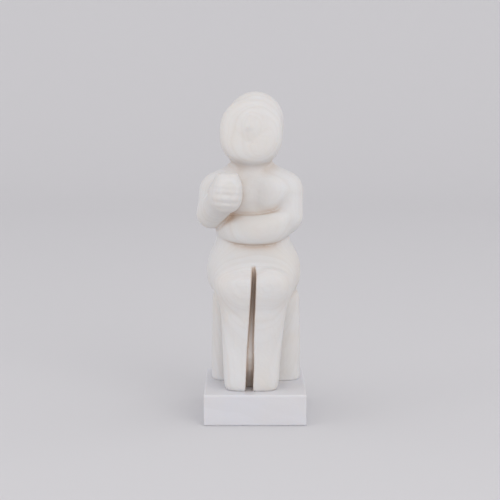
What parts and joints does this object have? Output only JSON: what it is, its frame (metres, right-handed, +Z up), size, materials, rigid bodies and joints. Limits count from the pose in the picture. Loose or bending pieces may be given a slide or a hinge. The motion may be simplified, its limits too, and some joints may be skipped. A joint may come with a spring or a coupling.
{
  "type": "cycladic figurine",
  "caption": "Carved marble figurine of a seated figure on a block stool, one forearm across the belly and one hand raising a small cup, on a plain rectangular plinth.",
  "frame": {"origin": "centre of the plinth's flat underside", "axes": "+Z up through the head, the figure faces -Y, +X to the figure's own left; the plinth's sides lie along X and Y"},
  "size_m": [0.056, 0.06, 0.1665],
  "materials": {
    "figure_marble": "smooth matt white marble, faintly banded, warmer in the hollows",
    "plinth_marble": "smooth sawn white marble, slightly cooler than the figure"
  },
  "bodies": {
    "root": {"seated_figure": "figure_marble", "plinth": "plinth_marble"}
  },
  "joints": []
}
